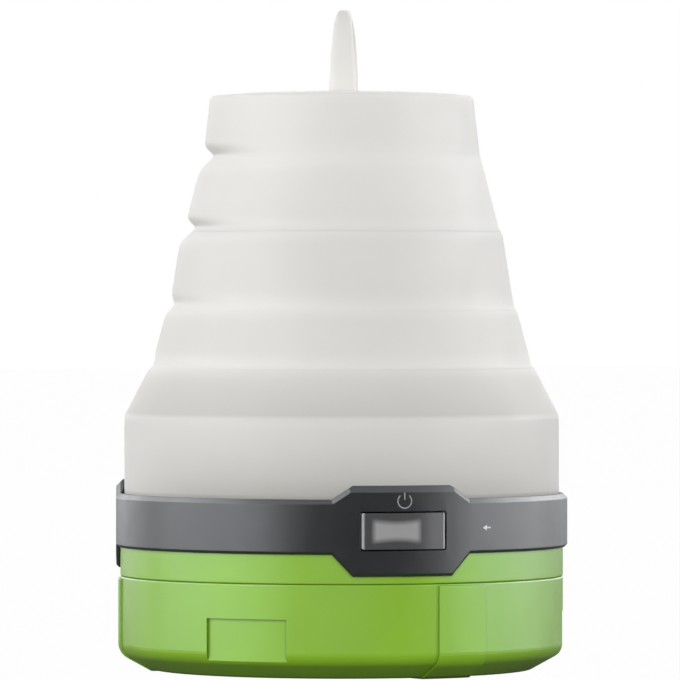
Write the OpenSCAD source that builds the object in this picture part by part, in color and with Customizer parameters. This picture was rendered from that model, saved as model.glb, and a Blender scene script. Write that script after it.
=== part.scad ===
// Folding camping lantern: a round rechargeable base, a soft shade that folds down in two steps, and a hanging loop.
// Sizes are in millimetres and angles in degrees. Z is up, the feet stand on Z = 0 and the power button faces -Y.

/* [Base] */
// Outer diameter of the base wall
base_d = 110.6; // [107:0.2:124]
// Height from the underside to the parting line of the two housings
lower_h = 23.2; // [22:0.1:30]
// Height from the parting line to the underside of the band
upper_h = 7.3; // [6.5:0.1:12]
// Wall thickness of both housings
housing_wall = 2; // [1.8:0.1:2.3]
// Radial width of the sloping bottom edge
slope_run = 7.8; // [6:0.1:9]
// Height of the sloping bottom edge
slope_h = 4.3; // [3:0.1:6]
// Rounding between the sloping edge and the wall
slope_round = 3.6; // [1:0.2:5]
// Depth of the groove for the sealing ring
seal_groove = 0.7; // [0.4:0.1:0.8]

/* [Feet] */
// How far the three ribs stand out from the wall
rib_height = 0.55; // [0.35:0.05:1.1]
// How far the ribs stand below the underside
foot_h = 0.3; // [0.2:0.1:0.7]
// Width of a rib
rib_w = 13.6; // [10:0.2:18]
// Angle from the button to the nearest rib
rib_turn = 16.5; // [14:0.1:22]
// Angle from the button to the nearest of the three shallow panels
panel_turn = -41; // [-46:0.5:-36]
// Width of a panel
panel_w = 21.5; // [14:0.5:30]
// Height of the panel's top edge above the underside
panel_top = 14.6; // [11:0.2:18]
// Depth of the panel
panel_depth = 0.7; // [0.3:0.1:0.9]

/* [Band] */
// How far the band stands out from the base wall
band_proud = 1.1; // [0.8:0.1:1.6]
// Height of the band
band_h = 13.3; // [12.5:0.1:16]
// Width of the bevel along the band's top edge
band_bevel = 1.1; // [0.5:0.1:1.4]
// Greatest width of a lug
lug_w = 35.4; // [32:0.2:42]
// Width of a lug's straight top edge
lug_flat = 25.2; // [22:0.2:28]
// Height of a lug
lug_h = 22; // [20:0.2:23]
// Width of the bevel along a lug's top edge
lug_bevel = 1.6; // [1:0.1:1.8]
// Height of the lug's middle above the underside of the band
lug_rise = 5.65; // [5.3:0.05:6.4]

/* [Button] */
// Width of the power button, and of both port covers
button_w = 21; // [17:0.2:22]
// Height of the power button, and of both port covers
button_h = 8.8; // [7.6:0.1:9.4]
// Width of the bevel at each end of the button
button_bevel = 0.7; // [0.3:0.1:1.1]
// Gap round the button and the covers
button_gap = 0.35; // [0.25:0.05:0.5]
// How far the button stands out from the band
button_proud = 0.4; // [0.1:0.1:0.9]
// How far the button moves when it is pressed
button_travel = 1; // [0.5:0.1:1.2]

/* [Shade] */
// Wall thickness of the shade
shade_wall = 1.6; // [1.4:0.1:2]
// How far the shade's skirt stands inside the base wall
skirt_inset = 1; // [0.8:0.1:1.4]
// Height of the skirt above the band
skirt_h = 19.65; // [14:0.05:26]
// Height of the sloping shoulder
shoulder_h = 11.65; // [8:0.05:16]
// Radial width of the sloping shoulder
shoulder_run = 5.5; // [4:0.1:8]
// Height of the lower folding wall
lower_fold_h = 14.35; // [11:0.05:15]
// Radial width of the lower folding wall
lower_fold_run = 3.3; // [2.4:0.1:4.4]
// Height of the middle ring
middle_h = 19.5; // [17:0.1:26]
// Radial width of the middle ring
middle_run = 2.7; // [1.6:0.1:3.4]
// Height of the upper folding wall
upper_fold_h = 18; // [13:0.1:18.5]
// Radial width of the upper folding wall
upper_fold_run = 3.4; // [2.4:0.1:4.4]
// Height of the cap
cap_h = 17.2; // [13:0.1:20]
// Radial width of the cap's sloping wall
cap_run = 1.2; // [0.6:0.1:2]
// Rounding of the cap's top edge
cap_round = 1.2; // [0.8:0.1:3]
// How far the cap's top falls from its flat middle to its edge
cap_dome = 1.2; // [0.5:0.1:2.5]
// Radial step from one tier to the next
fold_step = 1.3; // [1:0.1:1.6]
// Depth of the groove at a fold line
fold_notch = 0.9; // [0.6:0.05:1]

/* [Loop] */
// Outer width of the hanging loop
loop_w = 26; // [20:0.5:34]
// Height of the hanging loop
loop_h = 20.3; // [17:0.1:30]
// Thickness of the loop's strap
loop_strap = 2.6; // [2:0.1:3.4]
// Width of the strap where it leaves the cap
loop_foot = 7; // [6:0.1:10]
// Width of the strap below its rounded end
loop_end = 5; // [4:0.1:6]
// Angle from the button to the loop's near leg
loop_turn = -18; // [-60:1:60]

/* [Inside] */
// Diameter of a battery cell
cell_d = 18.4; // [14:0.1:18.6]
// Length of a battery cell
cell_l = 65; // [48:0.5:66]
// Thickness of both circuit boards
board_t = 1.6; // [1:0.1:2]
// Length of the charging socket
inlet_l = 7.6; // [6:0.1:10]
// Length of the supply socket
outlet_l = 14; // [12:0.5:16]
// Number of light-emitting diodes in the ring
led_count = 12; // [6:1:16]
// Width of a diode
led_w = 5; // [3:0.1:5.4]
// Diameter of the screw shanks
screw_d = 2.6; // [2.2:0.1:2.8]

/* [Hidden] */
$fn = 96;
// Clearances: running fit, loose fit and the shank's play in its hole
fit = 0.15;
loose = 0.3;
play = 0.1;
// Heights of the base
z_floor = foot_h;
z_inside = z_floor + housing_wall;
z_part = z_floor + lower_h;
z_seat = z_part + upper_h;
z_band = z_seat + band_h;
z_lug = z_seat + lug_rise;
z_under_deck = z_lug + button_h / 2 + button_gap + 0.4;
z_deck = z_under_deck + housing_wall;
// Radii of the base
base_r = base_d / 2;
floor_r = base_r - slope_run;
lower_in = base_r - housing_wall;
spigot_r = lower_in - fit;
upper_in = spigot_r - seal_groove - 0.85;
spigot_h = 4.4;
seal_h = 1.4;
seal_z = z_part - 3;
neck_r = base_r - skirt_inset;
band_in = neck_r + fit;
band_out = base_r + band_proud;
lug_top = z_lug + lug_h / 2;
lug_bottom = z_lug - lug_h / 2;
turns = [0, 120, 240];
outlet_turn = 120;
inlet_turn = 240;
// Screws that hold the two housings
screw_head = screw_d * 2;
screw_head_h = 2;
post_d = screw_head + 3;
post_r = floor_r - screw_head / 2 - 2;
post_turns = [60, 180, 300];
well_d = screw_head + 1;
well_h = 4;
grip = 6;
// Circuit boards
tact_size = 6;
tact_depth = 3.5;
plunger_d = 3.2;
plunger_out = 1.6;
z_board = z_lug - tact_size / 2;
board_r = post_r - post_d / 2 - 0.8;
tongue_r = upper_in - 3.4;
tongue_w = 22;
board_screw_r = board_r - 3.5;
stand_d = 6;
tact_r = tongue_r - 1.6;
socket_r = neck_r - 1.3;
wire_d = 1.6;
// Width of the largest chip on the control board, which its neighbours follow
chip_w = 9;
cable_r = 6;
// Sockets: width and height of each, and of its mouth
inlet_w = 9;
inlet_h = 3.3;
outlet_w = 14.4;
outlet_h = 6.6;
// Battery holder
holder_w = 2 * cell_d + 3;
contact_t = 0.8;
holder_l = cell_l + 2 * contact_t + 4;
z_cell = z_inside + 1.2 + cell_d / 2;
cell_x = cell_d / 2 + 0.5;
z_wire = z_cell + 0.38 * cell_d;
ear = 8;
ear_x = holder_w / 2 + ear / 2;
ear_z = z_inside + 4;
ear_t = 2.4;
// Shade radii, outer face, from the skirt up: b is a tier's bottom and t its top
shoulder_t = neck_r - shoulder_run;
lower_fold_b = shoulder_t - fold_step;
lower_fold_t = lower_fold_b - lower_fold_run;
middle_b = lower_fold_t - fold_step;
middle_t = middle_b - middle_run;
upper_fold_b = middle_t - fold_step;
upper_fold_t = upper_fold_b - upper_fold_run;
cap_b = upper_fold_t - fold_step;
cap_t = cap_b - cap_run;
// Shade heights
z_skirt = z_band + skirt_h;
z_fold_4 = z_skirt + shoulder_h;
z_fold_3 = z_fold_4 + lower_fold_h;
z_fold_2 = z_fold_3 + middle_h;
z_fold_1 = z_fold_2 + upper_fold_h;
z_cap = z_fold_1 + cap_h;
// Clamp for the shade's flange, and the light
flange_in = neck_r - shade_wall - 3.4;
clamp_out = neck_r - shade_wall - loose;
clamp_in = flange_in - fit - 7.5;
clamp_t = 1.6;
clamp_screw_r = clamp_in + 3.6;
clamp_turns = [35, 85, 155, 205, 275, 325];
z_flange = z_deck + shade_wall;
led_board_r = clamp_in - 1;
led_ring_r = led_board_r * 0.62;
led_screw_r = led_board_r - 4;
led_h = 1.4;
led_turns = [30, 150, 270];
cap_top = 2;
dome_r = loop_w / 2 + 2;
// Hinges of the port covers
hinge_x = -(button_w / 2 - 0.9);
hinge_y = -(sqrt(pow(neck_r, 2) - pow(hinge_x, 2)) + 1.15);
hinge_pin = 1;
hinge_l = 2 * (lug_rise - 0.35);
hinge_edge = 0.95;
cover_out = band_out - 0.4;
// The button's side wings, which keep it behind the band
wing_w = 1.2;
button_back = neck_r - 3.2;
button_face = band_out + button_proud;
button_corner = 0.5;
button_end = sqrt(pow(button_face, 2) - pow(button_w / 2, 2));
stem_d = 4;
// Corner cuts of a lug
lug_cut_x = (lug_w - lug_flat) / 2;
lug_mid_turn = asin((lug_w + lug_flat) / 4 / band_out);
low_bevel = 0.6 * band_proud;

// Outlines: a point is [x, y] or [x, y, rounding radius]
function flat(p) = [p[0], p[1]];
function unit(v) = v / norm(v);
function wrap(a) = a > 180 ? a - 360 : (a < -180 ? a + 360 : a);
function arc(m, r, a, turn, n) = [for (i = [0:n]) m + r * [cos(a + turn * i / n), sin(a + turn * i / n)]];
function arc_between(m, r, p, q, n) =
  let (a = atan2(p[1] - m[1], p[0] - m[0]), b = atan2(q[1] - m[1], q[0] - m[0]))
  arc(m, r, a, wrap(b - a), n);
function round_corner(a, b, c, r) =
  let (u = unit(a - b), v = unit(c - b), half = acos(u * v) / 2)
  arc_between(b + unit(u + v) * r / sin(half), r, b + u * r / tan(half), b + v * r / tan(half), 6);
function corner(a, b, c) = len(b) < 3 || b[2] <= 0 ? [flat(b)] : round_corner(flat(a), flat(b), flat(c), b[2]);
function rounded(p) =
  let (n = len(p))
  [for (i = [0:n - 1]) each corner(p[(i + n - 1) % n], p[i], p[(i + 1) % n])];

// The housing's outer outline, moved outward by d and down by foot, up to height z_end with its edge rounded by edge
slope_turn = atan2(slope_h, slope_run);
wall_tan = tan((90 - slope_turn) / 2);
function housing_outline(d, foot, z_end, edge) = rounded([
  [0, z_floor - foot],
  [floor_r + d / sin(slope_turn) - foot / tan(slope_turn), z_floor - foot],
  [base_r + d, z_floor + slope_h - d * wall_tan, slope_round + d],
  [base_r + d, z_end, edge],
  [0, z_end]
]);

// Turns what is modelled on the -Y side to another side of the base
module facing(turn) {
  rotate([0, 0, turn]) children();
}

// A box on the -Y side: width across, from radius r0 out to r1, height h round the middle z
module front_box(w, r0, r1, h, z) {
  translate([-w / 2, -r1, z - h / 2]) cube([w, r1 - r0, h]);
}

// The same with its four edges rounded by r
module front_block(w, r0, r1, h, z, r) {
  translate([0, -r0, z]) rotate([90, 0, 0]) linear_extrude(height = r1 - r0) polygon(rounded([
    [-w / 2, -h / 2, r],
    [w / 2, -h / 2, r],
    [w / 2, h / 2, r],
    [-w / 2, h / 2, r]
  ]));
}

// A rod along Z
module rod(x, y, z, d, h) {
  translate([x, y, z]) cylinder(d = d, h = h);
}

// A screw with its head at z and its shank going up by l
module screw_up(x, y, z, l) {
  rod(x, y, z - screw_head_h, screw_head, screw_head_h);
  rod(x, y, z, screw_d, l);
}

// A screw with its head at z and its shank going down by l
module screw_down(x, y, z, l) {
  rod(x, y, z, screw_head, screw_head_h);
  rod(x, y, z - l, screw_d, l);
}

// A rib that runs down the wall and under the base to the middle
module rib(turn) {
  facing(turn) intersection() {
    rotate_extrude() polygon(housing_outline(rib_height, foot_h, z_part - 0.5, 0.3));
    translate([-rib_w / 2, -base_r - 5, -1]) cube([rib_w, base_r + 7, z_part + 2]);
  }
}

// The space that a shallow panel takes out of the wall, down to the slope
module panel_cut(turn) {
  facing(turn) difference() {
    front_box(panel_w, floor_r, base_r + 4, panel_top, z_floor + panel_top / 2);
    translate([0, 0, -1]) cylinder(r = base_r - panel_depth, h = z_part + 1);
  }
}

module lower_housing() {
  color("#86b832") difference() {
    union() {
      difference() {
        union() {
          rotate_extrude() polygon(housing_outline(0, 0, z_part, 0.4));
          for (a = turns) rib(a + rib_turn);
        }
        rotate_extrude() polygon(housing_outline(-housing_wall, -housing_wall, z_part + 5, 0));
      }
      for (a = post_turns) facing(a) rod(0, -post_r, z_inside - 1, post_d, z_part - z_inside + 1);
      for (s = [-1, 1]) rod(s * ear_x, 0, z_inside - 1, stand_d, ear_z - z_inside + 1);
    }
    for (a = turns) panel_cut(a + panel_turn);
    for (a = post_turns) facing(a) {
      rod(0, -post_r, -1, well_d, well_h + 1 + z_floor);
      rod(0, -post_r, 0, screw_d + 2 * play, z_part + 1);
    }
    for (s = [-1, 1]) rod(s * ear_x, 0, z_inside, screw_d + 2 * play, ear_z);
  }
}

module upper_housing() {
  color("#86b832") difference() {
    union() {
      rotate_extrude() polygon(rounded([
        [base_r, z_part, 0.4],
        [base_r, z_seat],
        [neck_r, z_seat],
        [neck_r, z_deck],
        [cable_r, z_deck],
        [cable_r, z_under_deck],
        [upper_in, z_under_deck],
        [upper_in, z_part - spigot_h],
        [spigot_r, z_part - spigot_h],
        [spigot_r, seal_z],
        [spigot_r - seal_groove, seal_z],
        [spigot_r - seal_groove, seal_z + seal_h],
        [spigot_r, seal_z + seal_h],
        [spigot_r, z_part]
      ]));
      for (a = post_turns) facing(a) {
        rod(0, -post_r, z_part, post_d, z_under_deck - z_part + 0.5);
        rod(0, -board_screw_r, z_board, stand_d, z_under_deck - z_board + 0.5);
      }
      for (a = clamp_turns) facing(a) rod(0, -clamp_screw_r, z_under_deck - grip, stand_d, grip + 0.5);
      for (a = led_turns) facing(a) rod(0, -led_screw_r, z_under_deck - 3, stand_d, 3.5);
    }
    for (a = post_turns) facing(a) {
      rod(0, -post_r, z_part - 1, screw_d + 2 * play, grip + 2);
      rod(0, -board_screw_r, z_board - 1, screw_d + 2 * play, grip);
    }
    for (a = clamp_turns) facing(a) {
      rod(0, -clamp_screw_r, z_under_deck - grip + 1, screw_d + 2 * play, grip + housing_wall);
    }
    for (a = led_turns) facing(a) rod(0, -led_screw_r, z_under_deck - 2, screw_d + 2 * play, housing_wall + 3);
    front_box(button_w + 2 * wing_w + 2 * button_gap, tongue_r, base_r + 2, button_h + 2 * button_gap, z_lug);
    facing(outlet_turn) {
      front_box(outlet_w + 2 * loose, tongue_r, base_r + 2, outlet_h + 2 * loose, z_board + outlet_h / 2);
    }
    facing(inlet_turn) {
      front_box(inlet_w + 2 * loose, tongue_r, base_r + 2, inlet_h + 2 * loose, z_board + inlet_h / 2);
    }
  }
}

module housing_seal() {
  color("#262626") rotate_extrude() {
    translate([spigot_r - seal_groove, seal_z]) square([lower_in - spigot_r + seal_groove, seal_h]);
  }
}

module housing_screws() {
  color("#b8b8b4") for (a = post_turns) facing(a) {
    screw_up(0, -post_r, z_floor + well_h, z_part - z_floor - well_h + grip);
  }
}

// The space beyond a lug's cut corner, right of its middle, which rises from height z and is bevelled by bevel
module lug_corner(z, rise, bevel) {
  rotate([0, 0, lug_mid_turn]) translate([0, 0, z + rise / 2]) rotate([0, atan2(rise, lug_cut_x), 0]) {
    translate([-lug_w / 2, -1.1 * band_out, 0]) cube([lug_w, band_out, lug_h]);
    translate([-lug_w / 2, -band_out, -bevel]) rotate([45, 0, 0]) cube([lug_w, lug_h / 2, lug_h / 2]);
  }
}

// The space that a lug may fill above and below the band
module lug_space() {
  difference() {
    front_box(lug_w + 4 * band_bevel + 2, base_r - 3, band_out + 2, lug_h + 4, z_lug);
    for (s = [0, 1]) mirror([s, 0, 0]) {
      lug_corner(z_band, lug_top - z_band, band_bevel);
      mirror([0, 0, 1]) lug_corner(-z_seat, z_seat - lug_bottom, low_bevel);
    }
  }
}

module bezel_band() {
  color("#3c3d40") difference() {
    rotate_extrude() polygon([
      [base_r + fit, lug_bottom],
      [band_out - low_bevel, lug_bottom],
      [band_out, lug_bottom + low_bevel],
      [band_out, lug_top - lug_bevel],
      [band_out - lug_bevel, lug_top],
      [band_in, lug_top],
      [band_in, z_seat + loose],
      [base_r + fit, z_seat + loose]
    ]);
    difference() {
      rotate_extrude() polygon([
        [band_in - 1, z_band],
        [band_out - band_bevel, z_band],
        [band_out + 1, z_band - band_bevel - 1],
        [band_out + 1, lug_top + 1],
        [band_in - 1, lug_top + 1]
      ]);
      for (a = turns) facing(a) lug_space();
    }
    difference() {
      rotate_extrude() polygon([
        [base_r - 1, z_seat],
        [band_out - low_bevel, z_seat],
        [band_out + 1, z_seat + low_bevel + 1],
        [band_out + 1, lug_bottom - 1],
        [base_r - 1, lug_bottom - 1]
      ]);
      for (a = turns) facing(a) lug_space();
    }
    for (a = turns) facing(a) front_block(
      button_w + 2 * button_gap, base_r - 5, band_out + 2, button_h + 2 * button_gap, z_lug, button_corner
    );
    for (a = [outlet_turn, inlet_turn]) facing(a) {
      rod(hinge_x, hinge_y, z_lug - hinge_l / 2 - play, hinge_pin + 2 * play, hinge_l + 2 * play);
    }
  }
}

module power_button() {
  color("#2c2d30") {
    difference() {
      intersection() {
        cylinder(r = button_face, h = 2 * z_band);
        front_block(button_w, button_back, button_face + 1, button_h, z_lug, button_corner);
      }
      for (s = [-1, 1]) translate([s * button_w / 2, -button_end, z_lug]) rotate([0, 0, 45]) {
        cube([button_bevel * sqrt(2), button_bevel * sqrt(2), 2 * button_h], center = true);
      }
    }
    intersection() {
      cylinder(r = band_in, h = 2 * z_band);
      front_box(button_w + 2 * wing_w, button_back, band_out + 1, button_h, z_lug);
    }
    translate([0, -button_back, z_lug]) rotate([-90, 0, 0]) {
      cylinder(d = stem_d, h = button_back - tact_r - plunger_out);
    }
  }
}

module switch_plunger() {
  color("#d8d8d4") {
    translate([0, -tact_r - plunger_out, z_lug]) rotate([-90, 0, 0]) cylinder(d = plunger_d, h = 2 * plunger_out);
  }
}

module tact_switch() {
  color("#1e1e20") difference() {
    front_box(tact_size, tact_r - tact_depth, tact_r, tact_size, z_lug);
    translate([0, -tact_r - 1, z_lug]) rotate([-90, 0, 0]) {
      cylinder(d = plunger_d + 2 * play, h = 1 + plunger_out + button_travel + 0.2);
    }
  }
}

module control_board() {
  color("#1f6b3a") translate([0, 0, z_board - board_t]) linear_extrude(height = board_t) difference() {
    union() {
      circle(r = board_r);
      for (a = turns) rotate(a) translate([-tongue_w / 2, -tongue_r]) square([tongue_w, tongue_r]);
    }
    for (a = post_turns) rotate(a) translate([0, -board_screw_r]) circle(d = screw_d + 2 * play);
  }
}

module board_screws() {
  color("#b8b8b4") for (a = post_turns) facing(a) screw_up(0, -board_screw_r, z_board - board_t, board_t + grip - 2);
}

module board_parts() {
  color("#2a2a2c") {
    translate([-1.8 * chip_w, -1.3 * chip_w, z_board]) cube([chip_w, chip_w, 0.13 * chip_w]);
    translate([0.7 * chip_w, -1.5 * chip_w, z_board]) cube([0.65 * chip_w, 0.9 * chip_w, 0.15 * chip_w]);
    translate([0.9 * chip_w, 0.65 * chip_w, z_board]) cube([0.8 * chip_w, 0.8 * chip_w, 0.35 * chip_w]);
    translate([-1.5 * chip_w, 0.9 * chip_w, z_board]) cube([0.55 * chip_w, 0.45 * chip_w, 0.22 * chip_w]);
    rod(-0.45 * chip_w, 1.55 * chip_w, z_board, 0.65 * chip_w, 0.55 * chip_w);
    rod(0, -2.45 * chip_w, z_board, 0.55 * chip_w, 0.5 * chip_w);
  }
}

// A socket shell on the control board, open outward, with a tongue inside
module socket(w, h, l, rim, tongue) {
  difference() {
    front_box(w, socket_r - l, socket_r, h, z_board + h / 2);
    front_box(w - 2 * rim, socket_r - l + 2, socket_r + 1, h - 2 * rim, z_board + h / 2);
  }
  front_box(w - 4 * rim - 0.8, socket_r - l + 1.5, socket_r - 0.8, tongue, z_board + h / 2);
}

module usb_inlet() {
  color("#c2c4c6") facing(inlet_turn) socket(inlet_w, inlet_h, inlet_l, 0.35, 0.7);
}

module usb_outlet() {
  color("#c2c4c6") facing(outlet_turn) socket(outlet_w, outlet_h, outlet_l, 0.5, 1.8);
}

// A plate that lies on the neck from x0 to x1, out to radius r, with height h
module curved_plate(x0, x1, r, h) {
  intersection() {
    difference() {
      cylinder(r = r, h = 2 * z_band);
      translate([0, 0, -1]) cylinder(r = neck_r, h = 2 * z_band + 2);
    }
    translate([x0, -band_out - 1, z_lug - h / 2]) cube([x1 - x0, 20, h]);
  }
}

// A soft cover with pins on its left edge, and a plug of width w and height h at height z behind it
module port_cover(w, h, z) {
  curved_plate(hinge_x + 0.5, button_w / 2, cover_out, button_h);
  curved_plate(button_w / 2 - 2.4, button_w / 2 - 0.8, band_out, button_h - 3);
  rod(hinge_x, hinge_y, z_lug - button_h / 2, 2 * hinge_edge, button_h);
  rod(hinge_x, hinge_y, z_lug - hinge_l / 2, hinge_pin, hinge_l);
  intersection() {
    cylinder(r = neck_r + 0.5, h = 2 * z_band);
    front_box(w, socket_r + 0.2, band_out, h, z);
  }
}

module inlet_cover() {
  color("#36373a") facing(inlet_turn) port_cover(inlet_w - 1.2, inlet_h - 0.6, z_board + inlet_h / 2);
}

module outlet_cover() {
  color("#36373a") facing(outlet_turn) port_cover(outlet_w - 1.2, outlet_h - 0.8, z_board + outlet_h / 2);
}

module battery_cells() {
  color("#3f6fb5") for (s = [-1, 1]) {
    translate([s * cell_x, cell_l / 2, z_cell]) rotate([90, 0, 0]) cylinder(d = cell_d, h = cell_l);
  }
}

module battery_holder() {
  color("#2b2b2d") {
    difference() {
      translate([-holder_w / 2, -holder_l / 2, z_inside]) cube([holder_w, holder_l, z_cell - z_inside]);
      for (s = [-1, 1]) translate([s * cell_x, cell_l / 2 + contact_t, z_cell]) rotate([90, 0, 0]) {
        cylinder(d = cell_d + 2 * play, h = cell_l + 2 * contact_t);
      }
    }
    for (s = [-1, 1]) difference() {
      translate([s * ear_x - ear / 2, -ear / 2, ear_z]) cube([ear, ear, ear_t]);
      rod(s * ear_x, 0, ear_z - 1, screw_d + 2 * play, ear_t + 2);
    }
  }
}

// A contact plate that stands against a cell's end, on side s, from y on
module contact(s, y) {
  translate([s * cell_x - cell_d / 4, y, z_cell - 0.3 * cell_d]) cube([cell_d / 2, contact_t, 0.68 * cell_d]);
}

module battery_contacts() {
  color("#c9ccd0") {
    contact(-1, -cell_l / 2 - contact_t);
    contact(1, -cell_l / 2 - contact_t);
    union() {
      contact(-1, cell_l / 2);
      contact(1, cell_l / 2);
      translate([-cell_x, cell_l / 2, z_cell + 0.1 * cell_d]) cube([2 * cell_x, contact_t, 0.28 * cell_d]);
    }
  }
}

module holder_screws() {
  color("#b8b8b4") for (s = [-1, 1]) screw_down(s * ear_x, 0, ear_z + ear_t, ear_t + 3);
}

module battery_wires() {
  color("#b3261e") for (s = [-1, 1]) {
    rod(s * cell_x, -(cell_l + wire_d) / 2 - play, z_wire, wire_d, z_board - board_t - z_wire);
  }
}

module clamp_ring() {
  color("#e4e4e0") difference() {
    rotate_extrude() polygon([
      [clamp_in, z_deck],
      [flange_in - fit, z_deck],
      [flange_in - fit, z_flange],
      [clamp_out, z_flange],
      [clamp_out, z_flange + clamp_t],
      [clamp_in, z_flange + clamp_t]
    ]);
    for (a = clamp_turns) facing(a) rod(0, -clamp_screw_r, z_deck - 1, screw_d + 2 * play, 3 * clamp_t + 4);
  }
}

module clamp_screws() {
  color("#b8b8b4") for (a = clamp_turns) facing(a) {
    screw_down(0, -clamp_screw_r, z_flange + clamp_t, clamp_t + shade_wall + housing_wall + grip - 2);
  }
}

module led_board() {
  color("#eceeee") translate([0, 0, z_deck]) linear_extrude(height = board_t) difference() {
    circle(r = led_board_r);
    for (a = led_turns) rotate(a) translate([0, -led_screw_r]) circle(d = screw_d + 2 * play);
  }
}

module leds() {
  color("#f2d35a") for (i = [0:led_count - 1]) facing(i * 360 / led_count) {
    translate([-led_w / 2, -led_ring_r - led_w / 2, z_deck + board_t]) cube([led_w, led_w, led_h]);
  }
}

module led_screws() {
  color("#b8b8b4") for (a = led_turns) facing(a) {
    screw_down(0, -led_screw_r, z_deck + board_t, board_t + housing_wall + 1);
  }
}

module led_wires() {
  color("#b3261e") for (s = [-1, 1]) rod(2 * s, 0, z_board, wire_d, z_deck - z_board);
}

// Outline of one tier of the shade, from radius r0 at fold line z0 up to radius r1 at fold line z1
function tier_outline(r0, z0, r1, z1) = rounded([
  [r0 - fold_notch, z0],
  [r0, z0 + 1.3, 0.9],
  [r1, z1 - 1.5, 1],
  [r1 - fold_step - fold_notch, z1],
  [r1 - fold_step - shade_wall, z1],
  [r1 - shade_wall, z1 - 2.2, 0.6],
  [r0 - shade_wall, z0]
]);

module shade_skirt() {
  color("#dcdbd5") rotate_extrude() polygon(rounded([
    [flange_in, z_deck],
    [neck_r, z_deck],
    [neck_r, z_skirt, 0.6],
    [shoulder_t, z_fold_4 - 1.5, 1],
    [shoulder_t - fold_step - fold_notch, z_fold_4],
    [shoulder_t - fold_step - shade_wall, z_fold_4],
    [shoulder_t - shade_wall, z_fold_4 - 2.2, 0.6],
    [neck_r - shade_wall, z_skirt - 0.6, 0.6],
    [neck_r - shade_wall, z_flange],
    [flange_in, z_flange]
  ]));
}

module shade_fold_lower() {
  color("#dcdbd5") rotate_extrude() polygon(tier_outline(lower_fold_b, z_fold_4, lower_fold_t, z_fold_3));
}

module shade_middle() {
  color("#dcdbd5") rotate_extrude() polygon(tier_outline(middle_b, z_fold_3, middle_t, z_fold_2));
}

module shade_fold_upper() {
  color("#dcdbd5") rotate_extrude() polygon(tier_outline(upper_fold_b, z_fold_2, upper_fold_t, z_fold_1));
}

module shade_cap() {
  color("#dcdbd5") rotate_extrude() polygon(rounded([
    [cap_b - fold_notch, z_fold_1],
    [cap_b, z_fold_1 + 1.3, 0.9],
    [cap_t, z_cap - cap_dome, cap_round],
    [dome_r, z_cap, dome_r],
    [0, z_cap],
    [0, z_cap - cap_top],
    [dome_r, z_cap - cap_top, dome_r],
    [cap_t - shade_wall, z_cap - cap_dome - cap_top, 1],
    [cap_b - shade_wall, z_fold_1]
  ]));
}

// The loop's arch seen from the side, drawn inward by d
module arch(d) {
  r = loop_w / 2 - d;
  translate([0, z_cap + loop_h - loop_w / 2]) circle(r = r);
  translate([-r, z_cap]) square([2 * r, loop_h - loop_w / 2]);
}

module hang_loop() {
  color("#dcdbd5") facing(loop_turn) intersection() {
    rotate([90, 0, 90]) linear_extrude(height = loop_foot + 2, center = true) difference() {
      arch(0);
      arch(loop_strap);
    }
    rotate([90, 0, 0]) linear_extrude(height = loop_w + 2, center = true) polygon(rounded([
      [loop_foot / 2, z_cap],
      [loop_end / 2, z_cap + loop_h, 0.4 * loop_end],
      [-loop_end / 2, z_cap + loop_h, 0.4 * loop_end],
      [-loop_foot / 2, z_cap]
    ]));
  }
}

lower_housing();
upper_housing();
housing_seal();
housing_screws();
bezel_band();
power_button();
switch_plunger();
tact_switch();
control_board();
board_screws();
board_parts();
usb_inlet();
usb_outlet();
inlet_cover();
outlet_cover();
battery_cells();
battery_holder();
battery_contacts();
holder_screws();
battery_wires();
clamp_ring();
clamp_screws();
led_board();
leds();
led_screws();
led_wires();
shade_skirt();
shade_fold_lower();
shade_middle();
shade_fold_upper();
shade_cap();
hang_loop();
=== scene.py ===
"""A folding camping lantern: soft shade and loop modelled over the CAD base, with procedural materials."""

import functools
import math

import bpy
import numpy as np
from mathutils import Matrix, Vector


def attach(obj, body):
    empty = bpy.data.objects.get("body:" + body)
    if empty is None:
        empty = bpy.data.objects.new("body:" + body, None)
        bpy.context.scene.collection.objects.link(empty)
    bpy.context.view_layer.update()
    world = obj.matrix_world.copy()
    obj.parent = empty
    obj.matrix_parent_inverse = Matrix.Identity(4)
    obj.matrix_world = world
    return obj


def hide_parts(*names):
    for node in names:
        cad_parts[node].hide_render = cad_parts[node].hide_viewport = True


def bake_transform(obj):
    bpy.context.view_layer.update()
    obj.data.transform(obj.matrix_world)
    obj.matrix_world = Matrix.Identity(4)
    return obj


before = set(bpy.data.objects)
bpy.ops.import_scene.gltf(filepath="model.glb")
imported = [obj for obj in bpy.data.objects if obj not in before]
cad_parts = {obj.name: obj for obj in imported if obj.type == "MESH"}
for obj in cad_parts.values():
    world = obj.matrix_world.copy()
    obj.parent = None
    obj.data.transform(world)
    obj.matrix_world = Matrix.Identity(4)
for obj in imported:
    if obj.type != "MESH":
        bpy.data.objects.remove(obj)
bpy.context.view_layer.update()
MM = 0.001

# Heights and radii of the part, in millimetres. The folds are counted from the top.
Z_DECK, Z_SKIRT = 43.65, 63.75
FOLD_4, FOLD_3, FOLD_2, FOLD_1, Z_CAP = 75.4, 89.75, 109.25, 127.25, 144.45
SKIRT_R, CAP_R = 54.3, 33.0
BAND_R, Z_LUG = 56.4, 36.45
# Thickness of the shade's wall.
WALL = 1.6
# How far the flange at the shade's foot reaches in, its thickness, and the bevel on the foot's outer edge.
FLANGE, FLANGE_T, FOOT_BEVEL = 3.9, 1.2, 0.3
# How far the cap's top falls toward its edge, how steeply at the edge, and the rounding of the edge.
DOME, DOME_POWER, CAP_ROUND = 1.2, 2.2, 1.2
# Direction of the camera round the axis, in degrees from the power button.
CAMERA_TURN = -15.7

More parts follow.
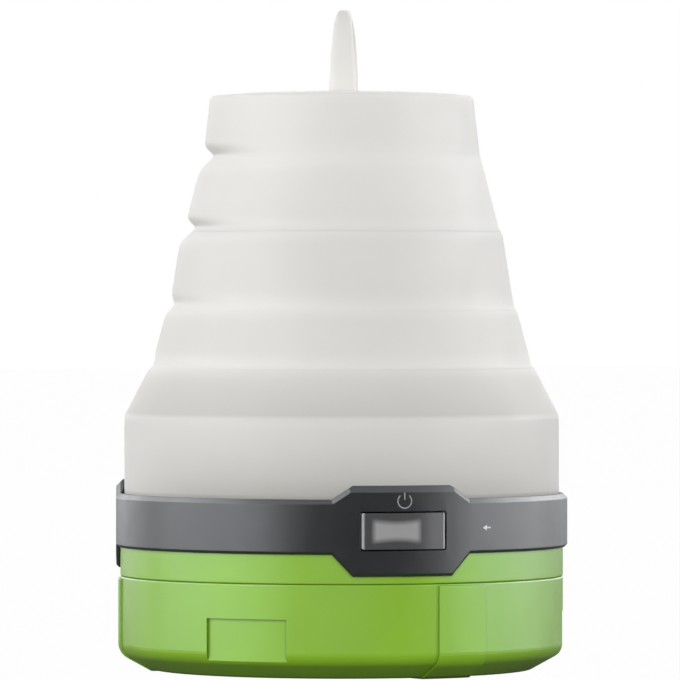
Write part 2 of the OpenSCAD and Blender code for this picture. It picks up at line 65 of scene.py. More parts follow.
# Shade and loop
# The shade's outer radius by height where its folds are shut.
SHUT = [
    (Z_DECK, SKIRT_R),
    (63.3, SKIRT_R),
    (75.0, 48.3),
    (75.8, 47.5),
    (89.2, 43.95),
    (90.6, 43.05),
    (108.6, 40.2),
    (110.2, 39.3),
    (126.6, 35.05),
    (128.0, 34.6),
    (Z_CAP - DOME - CAP_ROUND, CAP_R),
]
# Half the height over which the corners of that outline are rounded.
SOFTENING = 0.6
# The top of each fold's groove, its depth where the fold stands open, and how far it runs out downward.
GROOVES = [(128.1, 2.5, 2.3), (110.1, 2.6, 2.5), (91.4, 0.9, 2.3), (76.7, 0.4, 2.2)]
# How far a groove runs out upward, under the wall above it, and how quickly it closes round the shade.
LEDGE, GROOVE_POWER = 1.8, 10

# How light the silicone is painted by height, from the foot of the shade to its cap: painted shade makes the
# foot and the shoulder's lower edge darker, and painted light grows upward.
PAINTED_LIGHT_BY_HEIGHT = [
    (45.5, 0.00),
    (47.7, 0.20),
    (50.0, 0.38),
    (56.0, 0.64),
    (62.5, 0.83),
    (63.6, 0.62),
    (64.4, 0.26),
    (74.8, 0.60),
    (76.0, 0.75),
    (100.0, 0.82),
    (120.0, 0.88),
    (136.0, 0.95),
]
# Painted light makes the skirt lighter at its two sides as seen from the camera: a power that keeps this near
# them, and the height over which it ends.
SIDE_POWER, SIDE_FADE = 5, 1.2
# How much lighter a fold is painted, as painted light, on the open side, and on the other.
FOLD_PAINTED_LIGHT_OPEN, FOLD_PAINTED_LIGHT_SHUT = 0.4, 0.2
# How far up and down that reaches, and how far below the top of the groove its middle is.
FOLD_PAINTED_LIGHT_REACH, FOLD_PAINTED_LIGHT_DROP = 2.4, 0.3
# How much darker each fold's crease is painted, as painted shade, the share of that which shows all round,
# and its reach up and down.
CREASES = [(FOLD_1, 0.10), (FOLD_2, 0.12), (FOLD_3, 0.12), (FOLD_4, 0.25)]
CREASE_SHARE, CREASE_REACH = 0.25, 0.22

# Points in each row round the shade.
COLUMNS = 224
TURNS = [2 * math.pi * j / COLUMNS for j in range(COLUMNS)]
# The step up to the next row of points, for each distance that a fold or edge can be within.
STEPS = [(0.9, 0.15), (4.0, 0.4), (math.inf, 1.3)]
# The least gap before the last row. The distances are taken from so far above each row.
ROW_GAP = 0.1


def mesh_object(name, points, faces, material, smooth=True, tone_and_painted_light=None):
    """A mesh in the scene, with the tone and painted light of each point where it is given."""
    mesh = bpy.data.meshes.new(name)
    mesh.from_pydata([tuple(p) for p in points], [], faces)
    mesh.update()
    mesh.polygons.foreach_set("use_smooth", [smooth] * len(mesh.polygons))
    mesh.materials.append(material)
    if tone_and_painted_light is not None:
        mesh.attributes.new("tone_and_painted_light", "FLOAT", "POINT").data.foreach_set("value", tone_and_painted_light)
    obj = bpy.data.objects.new(name, mesh)
    bpy.context.scene.collection.objects.link(obj)
    return obj


def quads_between(low, high, n):
    """Faces between two closed rows of n points, each given by its number."""
    return [(low * n + j, low * n + (j + 1) % n, high * n + (j + 1) % n, high * n + j) for j in range(n)]


def hump(distance, reach):
    """A bell curve: 1 at no distance, and about a third at reach."""
    return math.exp(-((distance / reach) ** 2))


def openness(turn, power):
    """How far the folds stand open: fully on one side of the lantern, and hardly on the other."""
    return (0.5 + 0.5 * math.cos(turn - math.radians(CAMERA_TURN - 90.0))) ** power


@functools.cache
def shut_radius(z):
    heights, radii = zip(*SHUT)
    return float(np.mean(np.interp(np.linspace(z - SOFTENING, z + SOFTENING, 5), heights, radii)))


@functools.cache
def groove_depth(z):
    return sum(depth * hump(z - top, LEDGE if z > top else run) for top, depth, run in GROOVES)


def outer_radius(z, turn):
    return shut_radius(z) - groove_depth(z) * openness(turn, GROOVE_POWER)


def inner_radius(z, turn):
    return outer_radius(z, turn) - WALL


def painted_light_level(z, turn):
    """How light the silicone is painted, from 0 to 1: painted light in its folds and at the skirt's sides,
    and painted shade toward the foot and in its creases.
    """
    level = np.interp(z, *zip(*PAINTED_LIGHT_BY_HEIGHT))
    side = abs(math.sin(turn - math.radians(CAMERA_TURN))) ** SIDE_POWER
    level += (1.0 - level) * side * min(max((Z_SKIRT - z) / SIDE_FADE, 0.0), 1.0)
    left, right = openness(turn, 2), openness(turn + math.pi, 3)
    in_folds = FOLD_PAINTED_LIGHT_OPEN * left + FOLD_PAINTED_LIGHT_SHUT * right
    for top, _, _ in GROOVES:
        level += in_folds * hump(z - top + FOLD_PAINTED_LIGHT_DROP, FOLD_PAINTED_LIGHT_REACH)
    for fold, crease in CREASES:
        level -= crease * (CREASE_SHARE + right) * hump(z - fold, CREASE_REACH)
    return min(max(float(level), 0.0), 1.0)


def heights_between(low, high):
    """Heights for rows of points, close together near the folds and edges."""
    marks = [FOLD_1, FOLD_2, FOLD_3, FOLD_4, Z_SKIRT] + [top for top, _, _ in GROOVES]
    out, z = [low], low
    while True:
        near = min(abs(z + ROW_GAP - m) for m in marks)
        z += next(step for reach, step in STEPS if near < reach)
        if z > high - ROW_GAP:
            return out + [high]
        out.append(z)


def ring(radius, z):
    """A row of points at one height, from -Y round.

    The radius is a length, or a function of height and turn.
    """
    out = []
    for t in TURNS:
        r = radius(z, t) if callable(radius) else radius
        out.append((r * math.sin(t) * MM, -r * math.cos(t) * MM, z * MM))
    return out


def shade_object(name, outside, inside, material, tips=()):
    """A wall from rows of heights and points, outside from the foot up and inside from the top down.

    Where tips gives the heights of two points on the axis, the wall closes over the top.
    Otherwise it is a ring.
    """
    rows = outside + inside
    points = [p for _, row in rows for p in row]
    tone_and_painted_light = [painted_light_level(z, t) for z, _ in rows for t in TURNS]
    top = len(outside) - 1
    faces = []
    for low in range(len(rows)):
        if not tips or low != top:
            faces += quads_between(low, (low + 1) % len(rows), COLUMNS)
    for row, z, flip in zip((top, top + 1), tips, (1, -1)):
        start = row * COLUMNS
        fan = [(start + j, start + (j + 1) % COLUMNS, len(points)) for j in range(COLUMNS)]
        faces += [face[::flip] for face in fan]
        points.append((0, 0, z * MM))
        tone_and_painted_light.append(painted_light_level(z, 0))
    return mesh_object(name, points, faces, material, tone_and_painted_light=tone_and_painted_light)


def lower_skin(material):
    """The skirt, shoulder, lower folding wall and middle ring, with a flange turned in at the foot."""
    lip, z_flange = SKIRT_R - FLANGE, Z_DECK + FLANGE_T
    outside = [(Z_DECK, ring(r, Z_DECK)) for r in (lip, SKIRT_R - FOOT_BEVEL)]
    outside += [(z, ring(outer_radius, z)) for z in heights_between(Z_DECK + FOOT_BEVEL, FOLD_2)]
    inside = [(z, ring(inner_radius, z)) for z in heights_between(z_flange + ROW_GAP, FOLD_2)[::-1]]
    inside.append((z_flange, ring(lip, z_flange)))
    return shade_object("shade_lower", outside, inside, material)


def cap_row(share, below):
    """A row of the cap's top at a share of its radius, so far below its outer face."""
    z = Z_CAP - below - DOME * share**DOME_POWER
    return z, ring(CAP_R * share, z)


def upper_skin(material):
    """The upper folding wall and the cap."""
    corner, corner_steps, corner_sweep = Z_CAP - DOME, 8, 86.0
    inner_gap = 0.2
    shares = (0.86, 0.7, 0.55, 0.42, 0.3, 0.18, 0.08)
    outside = [(z, ring(outer_radius, z)) for z in heights_between(FOLD_2, corner - CAP_ROUND)]
    for i in range(1, corner_steps + 1):
        a = math.radians(corner_sweep * i / corner_steps)
        z = corner - CAP_ROUND + CAP_ROUND * math.sin(a)
        outside.append((z, ring(CAP_R - CAP_ROUND + CAP_ROUND * math.cos(a), z)))
    outside += [cap_row(share, 0.0) for share in shares]
    inside = [cap_row(share, WALL) for share in shares[::-1]]
    inside += [(z, ring(inner_radius, z)) for z in heights_between(FOLD_2, corner - WALL - inner_gap)[::-1]]
    return shade_object("shade_upper", outside, inside, material, (Z_CAP, Z_CAP - WALL))


# The hanging loop: half its width, its height, and half the thickness of its strap.
LOOP_HALF, LOOP_H, LOOP_T = 13.0, 20.3, 1.3
# How far its ends are sunk in the cap, its direction in degrees from the button, and its offset sideways.
LOOP_SUNK, LOOP_TURN, LOOP_ASIDE = 0.4, -17.5, 0.6
# Half the strap's width by height above the cap.
STRAP = [(0, 3.3), (5.7, 3.1), (9.3, 2.9), (11.8, 2.7), (14.3, 2.5), (16.7, 2.2), (18.3, 1.85), (19.0, 1.7)]
# How rounded the strap's section is across its width and thickness, where 1 is an oval.
STRAP_ROUND_W, STRAP_ROUND_T = 0.6, 0.8
LOOP_PALE = 0.75


def loop_path():
    """The strap's middle line up one leg, over the arch and down the other leg, with the way inward."""
    leg_steps, arch_steps = 8, 40
    half, height = LOOP_HALF - LOOP_T, LOOP_H - LOOP_T
    spring = height - half
    path = []
    for i in range(leg_steps + 1):
        path.append((-half, -LOOP_SUNK + (spring + LOOP_SUNK) * i / leg_steps, (1.0, 0.0)))
    for i in range(1, arch_steps + 1):
        a = math.pi * i / arch_steps
        path.append((-half * math.cos(a), spring + half * math.sin(a), (math.cos(a), -math.sin(a))))
    for i in range(1, leg_steps + 1):
        path.append((half, spring * (1 - i / leg_steps) - LOOP_SUNK * i / leg_steps, (-1.0, 0.0)))
    return path


def loop_mesh(material):
    """The hanging loop: a tapering strap with rounded edges, swept along an arch."""
    n = 32
    path = loop_path()
    turn = math.radians(LOOP_TURN)
    along = Vector((math.sin(turn), -math.cos(turn), 0))
    across = Vector((math.cos(turn), math.sin(turn), 0))
    points = []
    for d, h, inward in path:
        wide = np.interp(h, *zip(*STRAP))
        for k in range(n):
            a = 2 * math.pi * k / n
            c, s = math.cos(a), math.sin(a)
            u = LOOP_ASIDE + wide * math.copysign(abs(c) ** STRAP_ROUND_W, c)
            v = LOOP_T * math.copysign(abs(s) ** STRAP_ROUND_T, s)
            p = along * (d + v * inward[0]) + across * u
            points.append((p.x * MM, p.y * MM, (Z_CAP + h + v * inward[1]) * MM))
    faces = []
    for i in range(len(path) - 1):
        faces += quads_between(i, i + 1, n)
    faces.append(tuple(range(n)))
    faces.append(tuple(range(len(points) - n, len(points)))[::-1])
    return mesh_object("loop", points, faces, material, tone_and_painted_light=[LOOP_PALE] * len(points))


# Printed marks
# How far the ink lies above the band.
INK_LIFT = 0.03
# Where each mark is on the band, in degrees from the button and by height.
POWER_TURN, POWER_Z = 0, 43.75
ARROW_TURN, ARROW_Z = 21.8, 36.95


def mark(name, polygons, turn, z, material):
    """Flat outlines, in millimetres along the surface, laid round the band."""
    radius = BAND_R + INK_LIFT
    points, faces = [], []
    for polygon in polygons:
        start = len(points)
        for u, v in polygon:
            a = math.radians(turn) + u / radius
            points.append((radius * math.sin(a) * MM, -radius * math.cos(a) * MM, (z + v) * MM))
        faces.append(tuple(range(start, start + len(polygon))))
    return mesh_object(name, points, faces, material, smooth=False)


def arc_strip(r0, r1, a0, a1, n):
    """Short quads that make a ring sector."""
    quads = []
    for i in range(n):
        p = math.radians(a0 + (a1 - a0) * i / n)
        q = math.radians(a0 + (a1 - a0) * (i + 1) / n)
        quads.append([
            (r0 * math.cos(p), r0 * math.sin(p)),
            (r1 * math.cos(p), r1 * math.sin(p)),
            (r1 * math.cos(q), r1 * math.sin(q)),
            (r0 * math.cos(q), r0 * math.sin(q)),
        ])
    return quads


def box_outline(x0, x1, y0, y1):
    return [(x0, y0), (x1, y0), (x1, y1), (x0, y1)]


def power_symbol():
    """A ring that is open at the top, with an upright stroke in the opening."""
    inner, outer, opening, steps = 1.58, 1.87, 80, 28
    half_stroke, foot, tip = 0.15, 0.25, 2.05
    circle = arc_strip(inner, outer, 90 + opening / 2, 450 - opening / 2, steps)
    return circle + [box_outline(-half_stroke, half_stroke, foot, tip)]


def left_arrow():
    """A pointed head with a shaft to its right."""
    head, half_head, length, half_shaft = 1.3, 0.7, 2.5, 0.18
    point = [(0, 0), (head, -half_head), (head, half_head)]
    return [point, box_outline(head, length, -half_shaft, half_shaft)]


# Materials
# Noise scales are in repeats to the metre.
FINE_GRAIN, CLOUD_SCALE, GLOSS_SCALE = 2600.0, 60.0, 220.0
# How far the roughness varies either way, and how far out of a corner or gap painted shade darkens the
# colour.
GLOSS_SPREAD, CREASE_WIDTH = 0.04, 0.9 * MM
WHITE, BLACK = (1.0, 1.0, 1.0), (0.0, 0.0, 0.0)


def new_material(name):
    material = bpy.data.materials.new(name)
    material.use_nodes = True
    tree = material.node_tree
    shader = tree.nodes["Principled BSDF"]
    coords = tree.nodes.new("ShaderNodeTexCoord")
    return material, tree, shader, coords.outputs["Object"]


def noise(tree, coords, scale, detail=3.0):
    node = tree.nodes.new("ShaderNodeTexNoise")
    node.inputs["Scale"].default_value = scale
    node.inputs["Detail"].default_value = detail
    tree.links.new(coords, node.inputs["Vector"])
    return node.outputs["Fac"]


def spread(tree, value, low, high):
    """Maps a noise value, which lies mostly between 0.3 and 0.7, to the range low to high."""
    node = tree.nodes.new("ShaderNodeMapRange")
    node.inputs["From Min"].default_value = 0.3
    node.inputs["From Max"].default_value = 0.7
    node.inputs["To Min"].default_value = low
    node.inputs["To Max"].default_value = high
    tree.links.new(value, node.inputs["Value"])
    return node.outputs["Result"]


def mixed(tree, factor, first, second):
    """A colour between two, each a tuple or another node's output."""
    node = tree.nodes.new("ShaderNodeMix")
    node.data_type = "RGBA"
    tree.links.new(factor, node.inputs[0])
    for socket, colour in ((node.inputs[6], first), (node.inputs[7], second)):
        if isinstance(colour, tuple):
            socket.default_value = (*colour, 1.0)
        else:
            tree.links.new(colour, socket)
    return node.outputs[2]


def maths(tree, operation, *values, clamp=False):
    node = tree.nodes.new("ShaderNodeMath")
    node.operation = operation
    node.use_clamp = clamp
    for socket, value in zip(node.inputs, values):
        if isinstance(value, (int, float)):
            socket.default_value = value
        else:
            tree.links.new(value, socket)
    return node.outputs[0]


def ramp(tree, value, start, run):
    """0 where value is below start, and rising to 1 over run."""
    return maths(tree, "DIVIDE", maths(tree, "SUBTRACT", value, start), run, clamp=True)


def mix_shaders(tree, factor, first, second):
    """A shader between two, where the factor is a number or another node's output."""
    node = tree.nodes.new("ShaderNodeMixShader")
    if isinstance(factor, float):
        node.inputs[0].default_value = factor
    else:
        tree.links.new(factor, node.inputs[0])
    tree.links.new(first, node.inputs[1])
    tree.links.new(second, node.inputs[2])
    return node.outputs[0]


def bump(tree, shader, height, distance, edge=0.0):
    """Fine relief in the surface, over edges that are rounded to the radius edge where it is given."""
    node = tree.nodes.new("ShaderNodeBump")
    node.inputs["Distance"].default_value = distance
    tree.links.new(height, node.inputs["Height"])
    if edge:
        soft = tree.nodes.new("ShaderNodeBevel")
        soft.inputs["Radius"].default_value = edge
        tree.links.new(soft.outputs["Normal"], node.inputs["Normal"])
    tree.links.new(node.outputs["Normal"], shader.inputs["Normal"])


def creased(tree, colour, reach, depth):
    """The colour with painted shade, darker in corners and gaps narrower than reach, by up to the share
    depth.
    """
    corner = tree.nodes.new("ShaderNodeAmbientOcclusion")
    corner.inputs["Distance"].default_value = reach
    shade = maths(tree, "MULTIPLY_ADD", corner.outputs["AO"], depth, 1.0 - depth)
    return mixed(tree, shade, BLACK, colour)


def tinted(colour, factor):
    return tuple(min(1.0, c * factor) for c in colour)


def moulded(name, colour, roughness, grain, depth, variation=0.05, metallic=0.0, specular=0.5,
            tint=WHITE, edge=0.0, crease=0.0):
    """Plastic, rubber, cloth or plain metal: cloudy colour, fine grain in the surface and uneven gloss, and
    painted shade in corners and gaps where crease is given.
    """
    material, tree, shader, coords = new_material(name)
    cloud = spread(tree, noise(tree, coords, CLOUD_SCALE, 4.0), 0.0, 1.0)
    clouded = mixed(tree, cloud, tinted(colour, 1 - variation), tinted(colour, 1 + variation))
    # Painted shade: the colour is darkened in corners and gaps.
    if crease:
        clouded = creased(tree, clouded, CREASE_WIDTH, crease)
    tree.links.new(clouded, shader.inputs["Base Color"])
    gloss = spread(tree, noise(tree, coords, GLOSS_SCALE), roughness - GLOSS_SPREAD, roughness + GLOSS_SPREAD)
    tree.links.new(gloss, shader.inputs["Roughness"])
    bump(tree, shader, noise(tree, coords, grain, 2.0), depth, edge)
    shader.inputs["Metallic"].default_value = metallic
    shader.inputs["Specular IOR Level"].default_value = specular
    shader.inputs["Specular Tint"].default_value = (*tint, 1.0)
    return material


def silicone_material():
    """Milky silicone, whose thin wall throws back part of the light and lets part of it through."""
    # The colour runs from grey to milky with each point's tone and painted light: painted shade greys it and
    # painted light whitens it.
    grey, milky, let_through = (0.62, 0.605, 0.57), (0.97, 0.962, 0.94), 0.25
    material, tree, shader, coords = new_material("milky_silicone")
    tone_and_painted_light = tree.nodes.new("ShaderNodeAttribute")
    tone_and_painted_light.attribute_name = "tone_and_painted_light"
    cloud = spread(tree, noise(tree, coords, 28.0, 4.0), -0.05, 0.05)
    level = maths(tree, "ADD", tone_and_painted_light.outputs["Fac"], cloud, clamp=True)
    colour = mixed(tree, level, grey, milky)
    tree.links.new(colour, shader.inputs["Base Color"])
    tree.links.new(spread(tree, noise(tree, coords, 160.0), 0.50, 0.60), shader.inputs["Roughness"])
    bump(tree, shader, noise(tree, coords, FINE_GRAIN, 2.0), 6.0e-6)
    shader.inputs["Specular IOR Level"].default_value = 0.5
    shader.inputs["Sheen Weight"].default_value = 0.3
    shader.inputs["Sheen Roughness"].default_value = 0.4
    through = tree.nodes.new("ShaderNodeBsdfTranslucent")
    tree.links.new(colour, through.inputs["Color"])
    surface = mix_shaders(tree, let_through, shader.outputs[0], through.outputs[0])
    tree.links.new(surface, tree.nodes["Material Output"].inputs["Surface"])
    return material


def button_material():
    """Dark plastic with a frosted field left of its middle, a right part painted lighter as a painted
    reflection, and painted glints at both ends.
    """
    # The right part's lighter colour is a painted reflection, and the two end colours are painted glints.
    dark, darkest, lighter = (0.054, 0.055, 0.058), (0.046, 0.047, 0.050), (0.10, 0.102, 0.108)
    frosted, left_painted_glint, right_painted_glint = (0.33, 0.33, 0.335), (0.36, 0.37, 0.39), (0.62, 0.63, 0.65)
    # The middle of the field, half its width, half its height at its waist, and what its ends add to that.
    field_x, field_half, waist, flare = -2.0 * MM, 6.4 * MM, 2.7 * MM, 0.7 * MM
    # Where the right part with the painted reflection and the two painted glints at the ends start.
    lighter_x, left_x, right_x = 4.0 * MM, -10.0 * MM, 9.9 * MM
    # How gradually the field, the painted reflection and the painted glints come in.
    soft, lighter_run, end_run = 1.4 * MM, 3.0 * MM, 0.2 * MM

    material, tree, shader, coords = new_material("button_plastic")
    split = tree.nodes.new("ShaderNodeSeparateXYZ")
    tree.links.new(coords, split.inputs[0])
    x, z = split.outputs["X"], split.outputs["Z"]

    def within(value, middle, half):
        away = maths(tree, "ABSOLUTE", maths(tree, "SUBTRACT", value, middle))
        return ramp(tree, half, away, soft)

    along = maths(tree, "DIVIDE", maths(tree, "SUBTRACT", x, field_x), field_half)
    half_height = maths(tree, "MULTIPLY_ADD", maths(tree, "MULTIPLY", along, along), flare, waist)
    field = maths(tree, "MULTIPLY", within(x, field_x, field_half), within(z, Z_LUG * MM, half_height))
    cloud = spread(tree, noise(tree, coords, 300.0), 0.0, 1.0)
    face = mixed(tree, ramp(tree, x, lighter_x, lighter_run), mixed(tree, cloud, darkest, dark), lighter)
    # Painted glints at both ends.
    with_painted_glints = mixed(tree, ramp(tree, left_x, x, end_run), face, left_painted_glint)
    with_painted_glints = mixed(tree, ramp(tree, x, right_x, end_run), with_painted_glints, right_painted_glint)
    tree.links.new(mixed(tree, field, with_painted_glints, frosted), shader.inputs["Base Color"])
    tree.links.new(spread(tree, noise(tree, coords, 500.0), 0.32, 0.38), shader.inputs["Roughness"])
    bump(tree, shader, noise(tree, coords, 300.0, 1.0), 2.0e-6)
    shader.inputs["Specular IOR Level"].default_value = 1.0
    return material


def board_material(name, mask, copper):
    """Circuit board: solder mask over a grid of tracks, with bare copper pads."""
    track_gain, pad_size = 1.35, 0.12
    material, tree, shader, coords = new_material(name)
    tracks = tree.nodes.new("ShaderNodeTexBrick")
    tracks.inputs["Scale"].default_value = 260.0
    tracks.inputs["Mortar Size"].default_value = 0.035
    tracks.inputs["Color1"].default_value = (0, 0, 0, 1)
    tracks.inputs["Color2"].default_value = (0.05, 0.05, 0.05, 1)
    tracks.inputs["Mortar"].default_value = (1, 1, 1, 1)
    tree.links.new(coords, tracks.inputs["Vector"])
    cells = tree.nodes.new("ShaderNodeTexVoronoi")
    cells.inputs["Scale"].default_value = 190.0
    tree.links.new(coords, cells.inputs["Vector"])
    pads = maths(tree, "LESS_THAN", cells.outputs["Distance"], pad_size)
    base = mixed(tree, tracks.outputs["Color"], mask, tinted(mask, track_gain))
    tree.links.new(mixed(tree, pads, base, copper), shader.inputs["Base Color"])
    tree.links.new(spread(tree, noise(tree, coords, 400.0), 0.3, 0.42), shader.inputs["Roughness"])
    bump(tree, shader, tracks.outputs["Color"], 2.0e-5)
    return material


def wrapped_cell_material():
    """Shrink-wrapped cell, with a faint lengthwise gloss."""
    deep_blue, blue = (0.03, 0.12, 0.34), (0.05, 0.16, 0.42)
    material, tree, shader, coords = new_material("cell_wrap")
    stretch = tree.nodes.new("ShaderNodeMapping")
    stretch.inputs["Scale"].default_value = (1.0, 0.08, 1.0)
    tree.links.new(coords, stretch.inputs["Vector"])
    streak = spread(tree, noise(tree, stretch.outputs["Vector"], 900.0), 0.0, 1.0)
    tree.links.new(mixed(tree, streak, deep_blue, blue), shader.inputs["Base Color"])
    tree.links.new(spread(tree, noise(tree, coords, 250.0), 0.25, 0.4), shader.inputs["Roughness"])
    bump(tree, shader, streak, 1.0e-5)
    return material


def dress(nodes, material):
    for name in nodes:
        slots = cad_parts[name].data.materials
        slots.clear()
        slots.append(material)


# Stage and light, in metres
# Half the floor's width, and how far it lies below the object.
FLOOR_HALF, FLOOR_DROP = 6.0, 0.05 * MM
# The floor's own colour, and how far the camera, and then mirroring surfaces, see it as white.
FLOOR_MATTE, FLOOR_SEEN, FLOOR_MIRRORED = (0.2, 0.2, 0.2), 0.985, 0.03
# How much light comes from all round.
WORLD_LEVEL = 0.5
# Height that the lamps point at.
LAMP_AIM = 0.09
# Each lamp's name, degrees round from the camera, distance, height, size and radiance.
# The fills light matte surfaces, and the others show in glossy ones.
FILLS = [
    ("front_fill", 0, 1.9, 0.4, (1.4, 0.8), 5.5),
    ("left_fill", -90, 1.4, 0.17, (1.2, 0.3), 5.2),
    ("right_fill", 90, 1.4, 0.35, (1.2, 0.7), 1.35),
    ("back_fill", 180, 1.4, 0.4, (1.4, 0.8), 3.0),
]
REFLECTED = [
    ("left_strip", -67, 1.2, 0.3, (1.9, 0.6), 3.8),
    ("left_rear_strip", -135, 1.2, 0.3, (1.0, 0.6), 2.5),
    ("left_high", -112, 0.9, 1.1, (1.4, 0.7), 2.2),
    ("right_strip", 89, 1.2, 0.3, (1.5, 0.6), 4.4),
    ("right_rear_strip", 138, 1.2, 0.5, (1.0, 1.0), 2.4),
    ("right_high", 130, 0.9, 1.1, (0.9, 0.7), 2.0),
    ("left_glint", -56, 0.9, 1.05, (0.4, 0.3), 7.0),
    ("right_glint", 119, 1.2, 0.68, (0.4, 0.3), 7.0),
]


def seen_directly(tree, camera, mirrored):
    """A factor for rays from the camera, and another for rays that a mirror or glass sends on."""
    path = tree.nodes.new("ShaderNodeLightPath")
    either = maths(tree, "MAXIMUM", path.outputs["Is Glossy Ray"], path.outputs["Is Transmission Ray"])
    return maths(
        tree,
        "MAXIMUM",
        maths(tree, "MULTIPLY", path.outputs["Is Camera Ray"], camera),
        maths(tree, "MULTIPLY", either, mirrored),
    )


def studio_floor():
    """Floor that a camera sees nearly white, with the object's shadow kept, and looks through from below."""
    material = bpy.data.materials.new("studio_white")
    material.use_nodes = True
    tree = material.node_tree
    tree.nodes.clear()
    out = tree.nodes.new("ShaderNodeOutputMaterial")
    matte = tree.nodes.new("ShaderNodeBsdfDiffuse")
    matte.inputs["Color"].default_value = (*FLOOR_MATTE, 1)
    glow = tree.nodes.new("ShaderNodeEmission")
    glow.inputs["Color"].default_value = (*WHITE, 1)
    clear = tree.nodes.new("ShaderNodeBsdfTransparent")
    below = tree.nodes.new("ShaderNodeNewGeometry").outputs["Backfacing"]
    seen = seen_directly(tree, FLOOR_SEEN, FLOOR_MIRRORED)
    above = mix_shaders(tree, seen, matte.outputs[0], glow.outputs[0])
    tree.links.new(mix_shaders(tree, below, above, clear.outputs[0]), out.inputs["Surface"])
    corners = [(x, y, -FLOOR_DROP) for x, y in box_outline(-FLOOR_HALF, FLOOR_HALF, -FLOOR_HALF, FLOOR_HALF)]
    floor = mesh_object("floor", corners, [(0, 1, 2, 3)], material, smooth=False)


def studio_world():
    """White to the camera and in mirroring surfaces, and dimmer as light."""
    world = bpy.data.worlds.new("studio")
    bpy.context.scene.world = world
    world.use_nodes = True
    tree = world.node_tree
    background = tree.nodes["Background"]
    colour = mixed(tree, seen_directly(tree, 1.0, 1.0), (WORLD_LEVEL,) * 3, WHITE)
    tree.links.new(colour, background.inputs["Color"])
    background.inputs["Strength"].default_value = 1.0


def turned(azimuth, distance, z):
    """A place at a height and a distance from the axis, in degrees round from -Y."""
    a = math.radians(azimuth)
    return Vector((distance * math.sin(a), -distance * math.cos(a), z))


def softbox(name, turn, distance, z, size, radiance, mirrored):
    """A lamp that either shows in glossy surfaces or fills in the light on matte ones."""
    light = bpy.data.lights.new(name, "AREA")
    light.shape = "RECTANGLE"
    light.size, light.size_y = size
    light.energy = radiance * math.pi * size[0] * size[1]
    obj = bpy.data.objects.new(name, light)
    bpy.context.scene.collection.objects.link(obj)
    obj.location = turned(CAMERA_TURN + turn, distance, z)
    obj.rotation_euler = (Vector((0, 0, LAMP_AIM)) - obj.location).to_track_quat("-Z", "Y").to_euler()
    obj.visible_camera = False
    obj.visible_glossy = mirrored
    obj.visible_diffuse = not mirrored


def dark_card(distance, width, height):
    """A dark cloth on the camera's side, which keeps the object's front from mirroring the white studio."""
    material = moulded("dark_cloth", (0.06, 0.06, 0.06), 0.9, 400.0, 1.0e-4)
    middle, side = turned(CAMERA_TURN, distance, 0), turned(CAMERA_TURN + 90, width / 2, 0)
    top = Vector((0, 0, height))
    corners = [middle - side, middle + side, middle + side + top, middle - side + top]
    card = mesh_object("card", corners, [(0, 1, 2, 3)], material, smooth=False)
    card.visible_camera = False
    card.visible_diffuse = False
    card.visible_shadow = False


def place_camera(distance, eye, aim, sideways, lens):
    """The camera at a distance from the axis and the height eye, pointed at the height aim."""
    data = bpy.data.cameras.new("camera")
    data.sensor_width = 36.0
    data.lens = lens
    data.clip_start, data.clip_end = 0.05, 50.0
    camera = bpy.data.objects.new("camera", data)
    bpy.context.scene.collection.objects.link(camera)
    shift = turned(CAMERA_TURN + 90, sideways, 0)
    camera.location = turned(CAMERA_TURN, distance, eye) + shift
    target = Vector((0, 0, aim)) + shift
    camera.rotation_euler = (target - camera.location).to_track_quat("-Z", "Y").to_euler()
    bpy.context.scene.camera = camera


# The part
silicone = silicone_material()
# The green plastic is given painted shade in its corners and gaps.
green = moulded("green_plastic", (0.27, 0.53, 0.014), 0.34, FINE_GRAIN, 6.0e-6, 0.04, specular=1.0,
                tint=(0.62, 0.72, 1.0), edge=0.12 * MM, crease=0.8)
charcoal = moulded("charcoal_plastic", (0.012, 0.013, 0.015), 0.37, FINE_GRAIN, 4.0e-6, 0.08, specular=1.0,
                   tint=(0.93, 0.97, 1.0), edge=0.2 * MM)
rubber = moulded("cover_rubber", (0.028, 0.029, 0.031), 0.60, 3000.0, 3.0e-5, 0.10)
steel = moulded("screw_steel", (0.62, 0.62, 0.60), 0.32, 1800.0, 1.0e-5, 0.08, metallic=1.0)
nickel = moulded("plated_shell", (0.70, 0.69, 0.66), 0.26, 1500.0, 8.0e-6, 0.06, metallic=1.0)
black = moulded("black_plastic", (0.018, 0.018, 0.019), 0.45, FINE_GRAIN, 2.0e-5, 0.12)
white = moulded("white_plastic", (0.76, 0.76, 0.73), 0.42, FINE_GRAIN, 1.5e-5, 0.03)
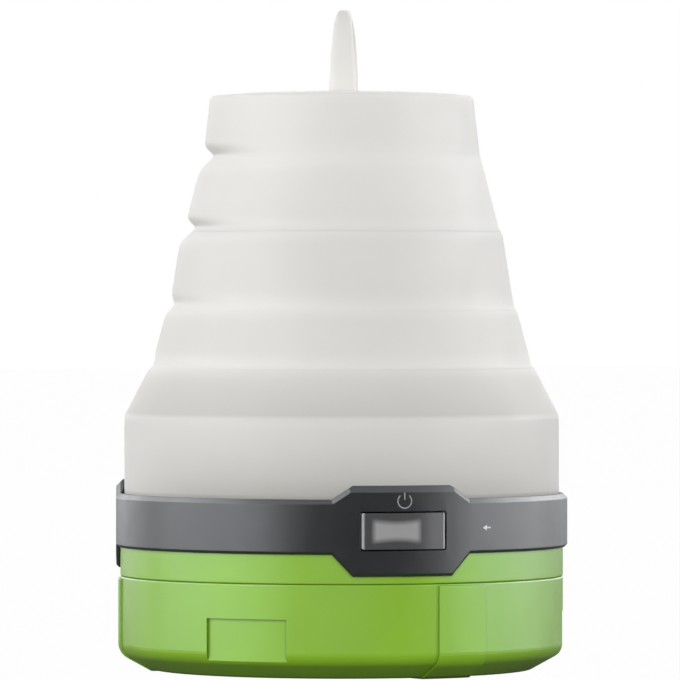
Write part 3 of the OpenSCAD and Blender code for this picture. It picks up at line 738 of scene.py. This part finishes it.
wire = moulded("wire_insulation", (0.42, 0.03, 0.02), 0.40, FINE_GRAIN, 1.0e-5, 0.10)
phosphor = moulded("led_phosphor", (0.82, 0.60, 0.10), 0.35, FINE_GRAIN, 1.0e-5, 0.08)
ink = moulded("pale_ink", (0.75, 0.75, 0.75), 0.55, 4000.0, 4.0e-6, 0.06)
grey_ink = moulded("grey_ink", (0.33, 0.33, 0.34), 0.55, 4000.0, 4.0e-6, 0.06)

dress(["lower_housing", "upper_housing"], green)
dress(["bezel_band"], charcoal)
dress(["power_button"], button_material())
dress(["inlet_cover", "outlet_cover", "housing_seal"], rubber)
dress(["housing_screws", "board_screws", "holder_screws", "clamp_screws", "led_screws"], steel)
dress(["usb_inlet", "usb_outlet", "battery_contacts"], nickel)
dress(["battery_holder", "tact_switch", "board_parts"], black)
dress(["clamp_ring", "switch_plunger"], white)
dress(["battery_wires", "led_wires"], wire)
dress(["leds"], phosphor)
dress(["control_board"], board_material("green_board", (0.012, 0.12, 0.045), (0.65, 0.42, 0.14)))
dress(["led_board"], board_material("white_board", (0.72, 0.73, 0.72), (0.70, 0.69, 0.64)))
dress(["battery_cells"], wrapped_cell_material())

lower = lower_skin(silicone)
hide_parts("shade_skirt", "shade_fold_lower", "shade_middle")
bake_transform(lower)
upper = upper_skin(silicone)
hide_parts("shade_fold_upper", "shade_cap")
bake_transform(upper)
loop = loop_mesh(silicone)
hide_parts("hang_loop")
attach(loop, "shade_top")

power_mark = mark("power_mark", power_symbol(), POWER_TURN, POWER_Z, grey_ink)
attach(power_mark, "base")
arrow = mark("arrow_mark", left_arrow(), ARROW_TURN, ARROW_Z, ink)
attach(arrow, "base")

place_camera(distance=1.70, eye=0.096, aim=0.0823, sideways=-0.00042, lens=360.0)
studio_floor()
studio_world()
dark_card(distance=2.6, width=4.4, height=2.6)
for lamp in FILLS:
    softbox(*lamp, mirrored=False)
for lamp in REFLECTED:
    softbox(*lamp, mirrored=True)
bpy.context.scene.view_settings.view_transform = "Standard"
